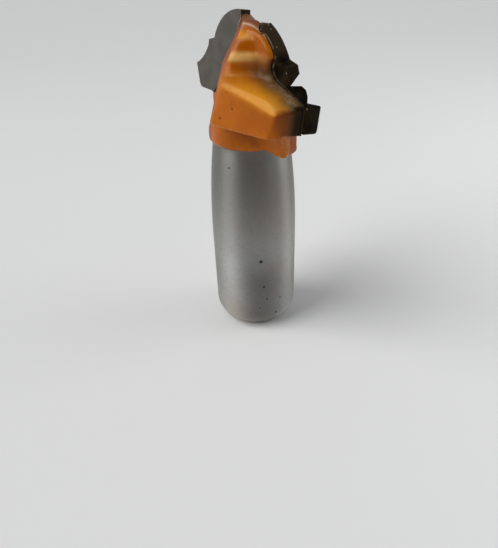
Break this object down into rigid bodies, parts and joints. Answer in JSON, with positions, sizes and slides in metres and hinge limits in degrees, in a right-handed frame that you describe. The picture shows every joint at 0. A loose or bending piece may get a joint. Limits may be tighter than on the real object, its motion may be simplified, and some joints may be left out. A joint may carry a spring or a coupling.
{
  "type": "router bit",
  "caption": "Two-winged profile router bit with a domed, stepped cutting form, brazed carbide tips, an orange coated head and a plain straight shank.",
  "frame": {"origin": "centre of the shank's end face, which is the bottom centre of the bit standing on its shank", "axes": "+Z along the tool axis to the cutting end; the outer tip's wing lies along +X with its rake face toward +Y; +Y completes the right-handed frame"},
  "size_m": [0.0288, 0.0154, 0.0455],
  "materials": {
    "coated_steel": "glossy orange coating on the head, bare ground steel on the shank",
    "carbide": "ground grey carbide",
    "braze": "dull, darkened brazing alloy"
  },
  "bodies": {
    "root": {"steel_body": "coated_steel", "centre_tip": "carbide", "outer_tip": "carbide", "centre_tip_braze": "braze", "outer_tip_braze": "braze"}
  },
  "joints": []
}
